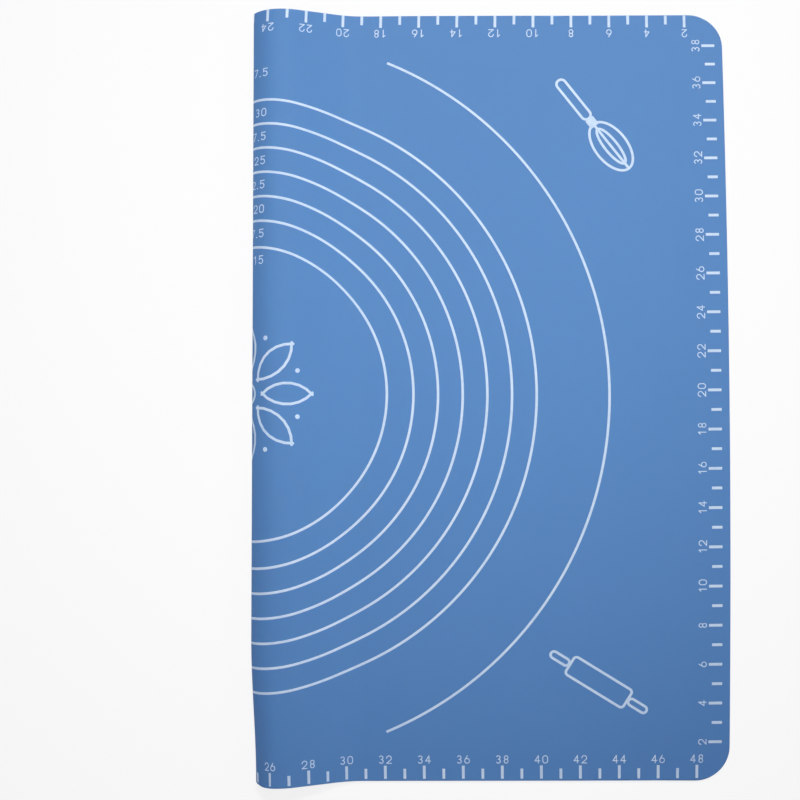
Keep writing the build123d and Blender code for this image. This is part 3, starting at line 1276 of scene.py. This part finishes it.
@dataclass(frozen=True)
class Artwork:
    """Everything printed on the flat sheet: sizing rings, scales, ring sizes and drawn ornaments."""

    width: float
    depth: float
    ring_line: float = 1.35 * MM
    ring_step: float = 1.0 * DEG
    ring_sizes: tuple = (148.0, 175.0, 200.0, 225.0, 250.0, 275.0, 300.0)
    ring_words: tuple = ("15", "17.5", "20", "22.5", "25", "27.5", "30")
    outer_size: float = 374.0
    outer_word: str = "37.5"
    outer_sweep: float = 67.2 * DEG
    outer_word_place: float = 164.5 * MM
    word_drop: float = 6.7 * MM
    word_reach: float = 9.8 * MM
    across_marks: int = 48
    along_marks: int = 38
    lower_inset: float = 1.2 * MM
    upper_inset: float = -0.4 * MM
    side_inset: float = 4.2 * MM
    whisk_place: tuple = (189.0 * MM, 128.0 * MM)
    whisk_turn: float = -52 * DEG
    pin_place: tuple = (181.0 * MM, -147.0 * MM)
    pin_turn: float = -32 * DEG
    numerals: Numerals = Numerals()
    rosette: Rosette = Rosette()
    whisk: Whisk = Whisk()
    pin: RollingPin = RollingPin()

    def rings(self) -> list:
        """The full rings, and the two outer arcs about the right and the left.

        Returns:
            Lists of strokes.
        """
        turns = int(round(2 * np.pi / self.ring_step))
        drawn = []
        for size in self.ring_sizes:
            reach = size * MM / 2 + self.ring_line / 2
            drawn.append([oval((0, 0), (reach, reach), self.ring_line, turns)])
        for middle in (0.0, np.pi):
            first, sweep = middle - self.outer_sweep, 2 * self.outer_sweep
            radius = self.outer_size * MM / 2
            outer = arc((0, 0), radius, first, sweep, self.ring_line, self.ring_step, Ends.SQUARE)
            drawn.append([outer])
        return drawn

    def scales(self) -> list:
        """The four edge scales, each starting at its own corner.

        Returns:
            Lists of strokes.
        """
        signs = self.numerals.signs()
        edges = (
            EdgeScale(self.width, self.across_marks, self.lower_inset, self.depth / 2, 0),
            EdgeScale(self.depth, self.along_marks, self.side_inset, self.width / 2, 1),
            EdgeScale(self.width, self.across_marks, self.upper_inset, self.depth / 2, 2),
            EdgeScale(self.depth, self.along_marks, self.side_inset, self.width / 2, 3),
        )
        return [drawing for edge in edges for drawing in edge.draw(self.numerals, signs)]

    def words(self) -> list:
        """The ring sizes, in plain numbers, up the middle of the sheet.

        Returns:
            Lists of strokes.
        """
        signs = self.numerals.signs()
        places = [size * MM / 2 - self.word_drop for size in self.ring_sizes] + [self.outer_word_place]
        drawn = []
        for text, place in zip(self.ring_words + (self.outer_word,), places):
            number = self.numerals.number(text, signs)
            right = max(stroke.path[:, 0].max() + stroke.width / 2 for sign in number for stroke in sign)
            shift = (self.word_reach - right, place - self.numerals.height / 2)
            drawn += [[stroke.turned(0.0, shift) for stroke in sign] for sign in number]
        return drawn

    def ornaments(self) -> list:
        """A whisk and a rolling pin in the right half's corners, and the same turned in the left's.

        Returns:
            Lists of strokes.
        """
        placed = [
            [stroke.turned(self.whisk_turn, self.whisk_place) for stroke in self.whisk.draw()],
            [stroke.turned(self.pin_turn, self.pin_place) for stroke in self.pin.draw()],
        ]
        return placed + [[stroke.turned(np.pi) for stroke in drawing] for drawing in placed]


@dataclass
class Print:
    """The white print, cut where the sheet's strips meet and laid onto them."""

    sheet: Sheet
    material: bpy.types.Material
    artwork: Artwork
    sharp_angle: float = 50 * DEG
    pieces: list = field(default_factory=list)

    def cut(self, flat: bpy.types.Mesh, strip: int) -> bmesh.types.BMesh:
        """The part of a flat print that lies on one strip, with an edge at each column of an arc.

        Args:
            flat: the flat print.
            strip: the strip's number.

        Returns:
            The cut print, closed where it was cut.
        """
        profile = self.sheet.profile
        first, last = profile.window(strip)
        right, left = profile.half_width - first, profile.half_width - last
        cut = bmesh.new()
        cut.from_mesh(flat)
        for place, side in ((right, "clear_outer"), (left, "clear_inner")):
            if abs(place) < profile.half_width:
                result = self.split(cut, place, **{side: True})
                edges = [item for item in result["geom_cut"] if isinstance(item, bmesh.types.BMEdge)]
                bmesh.ops.holes_fill(cut, edges=edges, sides=0)
        for column in profile.half_width - self.sheet.columns(strip)[1:-1]:
            run = np.searchsorted(profile.ends, profile.half_width - column) - 1
            if profile.turn[min(max(run, 0), len(profile.turn) - 1)]:
                self.split(cut, column)
        return cut

    def split(self, cut: bmesh.types.BMesh, place: float, **sides: bool) -> dict:
        """Cuts a flat print along the bend.

        Args:
            cut: the print.
            place: where the cut is, across the sheet.
            **sides: which side of the cut is cleared, if any.

        Returns:
            What the cut gives.
        """
        geometry = [*cut.verts, *cut.edges, *cut.faces]
        same = 10.0**-FINEST_DIGIT
        return bmesh.ops.bisect_plane(
            cut, geom=geometry, dist=same, plane_co=(place, 0, 0), plane_no=(1, 0, 0), **sides
        )

    def lay(self, name: str, flat: bpy.types.Mesh, strip: int) -> bpy.types.Object | None:
        """Makes one printed piece of one strip.

        Args:
            name: the piece's name.
            flat: the flat print.
            strip: the strip's number.

        Returns:
            The piece, or nothing where the strip has none of that print.
        """
        cut = self.cut(flat, strip)
        if not cut.faces:
            cut.free()
            return None
        mesh = bpy.data.meshes.new(name)
        cut.to_mesh(mesh)
        cut.free()
        move(mesh, self.sheet.profile.place)
        move(mesh, self.sheet.drift.draw_in)
        piece = show(name, mesh, self.material)
        smooth(piece, self.sharp_angle)
        return piece

    def dress(self, frame: dict) -> list:
        """Makes all the print and ties each piece to the strip under it, kind by kind.

        Args:
            frame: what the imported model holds.

        Returns:
            The printed pieces.
        """
        profile = self.sheet.profile
        ink = InkBody(profile.thickness / 2)
        drawn = {
            "rings": self.artwork.rings(),
            "scales": self.artwork.scales(),
            "ring_labels": self.artwork.words(),
            "rosette": self.artwork.rosette.draw(),
            "ornaments": self.artwork.ornaments(),
        }
        for kind, strokes in drawn.items():
            flat = ink.mesh(strokes)
            move(flat, self.sheet.drift.of_print)
            for strip in range(profile.last + 1):
                piece = self.lay(strip_name(kind, strip), flat, strip)
                if piece:
                    self.tie(piece, kind, strip, frame)
            bpy.data.meshes.remove(flat)
        return self.pieces

    def tie(self, piece: bpy.types.Object, kind: str, strip: int, frame: dict) -> None:
        """Ties a printed piece to its strip's two bodies, and hides the inlays that it stands for.

        The rings also stand for what is printed on the bend's bands, of every kind.

        Args:
            piece: the printed piece.
            kind: which print it is.
            strip: the strip's number.
            frame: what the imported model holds.
        """
        profile = self.sheet.profile
        first, second = profile.bodies[strip : strip + 2]
        start, end = profile.hinge_reach(strip)
        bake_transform(piece, first, second, start=tuple(start), end=tuple(end))
        words = {"rings": ("_ring_", "band"), "scales": ("_scale",)}.get(kind, ("_" + kind,))

        def is_this_print(node: str) -> bool:
            """Tells this kind's inlays by their names."""
            return not is_sheet(node) and any(word in node for word in words)

        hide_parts(*stood_for(frame, profile, strip, is_this_print))
        self.pieces.append(piece)
        log.info("%s lies on %s and %s", piece.name, first, second)


@dataclass(frozen=True)
class Lamp:
    """A round soft lamp, turned to its aim."""

    name: Surround
    place: tuple
    aim: tuple
    size: float
    spread: float
    watts: float
    colour: tuple = (1.0, 1.0, 0.96)

    def build(self) -> bpy.types.Object:
        """Makes the lamp.

        Returns:
            The lamp.
        """
        light = bpy.data.lights.new(self.name.value, "AREA")
        light.shape = "DISK"
        light.size = self.size
        light.spread = self.spread
        light.energy = self.watts
        light.color = self.colour
        lamp = bpy.data.objects.new(self.name.value, light)
        place = np.array(self.place)
        back = place - np.array(self.aim)
        back /= np.linalg.norm(back)
        side = np.cross((0.0, 1.0, 0.0), back)
        side /= np.linalg.norm(side)
        turn = np.column_stack((side, np.cross(back, side), back))
        lamp.matrix_world = Matrix.Translation(place) @ Matrix(turn.tolist()).to_4x4()
        bpy.context.scene.collection.objects.link(lamp)
        return lamp


@dataclass(frozen=True)
class Studio:
    """The plain set: white floor, a broad lamp over the far side, a weak one right, and the camera."""

    floor_half: float = 6.0
    floor_drop: float = 0.1 * MM
    camera_place: tuple = (-0.04059, -0.02286, 0.560)
    camera_tilt: tuple = (-1.991 * DEG, -0.617 * DEG, 0.033 * DEG)
    camera_lens: float = 48.53
    camera_sensor: float = 36.0
    lamps: tuple = (
        Lamp(
            name=Surround.KEY,
            place=(0.1, 1.0, 1.1),
            aim=(-0.02, 0.15, 0.0),
            size=0.7,
            spread=24 * DEG,
            watts=1.28,
        ),
        Lamp(
            name=Surround.SIDE,
            place=(1.1, 0.1, 0.75),
            aim=(-0.04, 0.06, 0.0),
            size=0.5,
            spread=40 * DEG,
            watts=0.16,
        ),
    )
    world_colour: tuple = (0.87, 0.85, 1.25, 1.0)
    seen_colour: tuple = (1.0, 1.0, 1.0, 1.0)
    world_strength: float = 0.175

    def floor(self) -> bpy.types.Object:
        """Makes the floor just under the mat.

        Returns:
            The floor.
        """
        reach = self.floor_half
        corners = np.array(((-reach, -reach), (reach, -reach), (reach, reach), (-reach, reach)))
        places = np.column_stack((corners, np.full(4, -self.floor_drop)))
        floor = make_object(Surround.FLOOR.value, places, [(0, 1, 2, 3)], Backdrop().build())
        return floor

    def world(self) -> bpy.types.World:
        """Makes the soft even light from all round.

        Returns:
            The world.
        """
        world = bpy.data.worlds.new("soft_room")
        world.use_nodes = True
        nodes, links = world.node_tree.nodes, world.node_tree.links
        light = nodes["Background"]
        light.inputs["Color"].default_value = self.world_colour
        light.inputs["Strength"].default_value = self.world_strength
        white = nodes.new("ShaderNodeBackground")
        white.inputs["Color"].default_value = self.seen_colour
        both = nodes.new("ShaderNodeMixShader")
        links.new(looking_rays(nodes, links), both.inputs[0])
        links.new(light.outputs[0], both.inputs[1])
        links.new(white.outputs[0], both.inputs[2])
        links.new(both.outputs[0], nodes["World Output"].inputs["Surface"])
        bpy.context.scene.world = world
        return world

    def camera(self) -> bpy.types.Object:
        """Makes the camera, looking almost straight down on the mat.

        Returns:
            The camera.
        """
        lens = bpy.data.cameras.new(Surround.CAMERA.value)
        lens.lens = self.camera_lens
        lens.sensor_width = self.camera_sensor
        camera = bpy.data.objects.new(Surround.CAMERA.value, lens)
        tilt = Matrix.Identity(3)
        for angle, axis in zip(self.camera_tilt, "XYZ"):
            tilt = tilt @ Matrix.Rotation(angle, 3, axis)
        camera.matrix_world = Matrix.Translation(self.camera_place) @ tilt.transposed().to_4x4()
        bpy.context.scene.collection.objects.link(camera)
        bpy.context.scene.camera = camera
        return camera

    def build(self) -> None:
        """Makes the whole set."""
        self.floor()
        for lamp in self.lamps:
            lamp.build()
        self.world()
        self.camera()
        bpy.context.scene.view_settings.view_transform = "Standard"


def declare_sheets(sheet: Sheet) -> None:
    """Works out each strip's window and flat area, and keeps neither.

    Args:
        sheet: the dressed sheet.
    """
    profile = sheet.profile
    for strip, (piece, held) in enumerate(zip(sheet.pieces, ("folded", "laid"))):
        first, end = profile.window(strip)
        sheet.flat_area(strip)


def main() -> None:
    """Loads the frame, dresses the sheet and its print, and sets the studio."""
    logging.basicConfig(level=logging.INFO, format="%(name)s: %(message)s")
    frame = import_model()
    profile = Profile.of_frame(frame)
    sheet = Sheet(profile, Silicone().build())
    sheet.dress(frame)
    artwork = Artwork(2 * profile.half_width, profile.depth)
    prints = Print(sheet, Ink().build(), artwork)
    prints.dress(frame)
    declare_sheets(sheet)
    Studio().build()


if __name__ == "__main__":
    main()
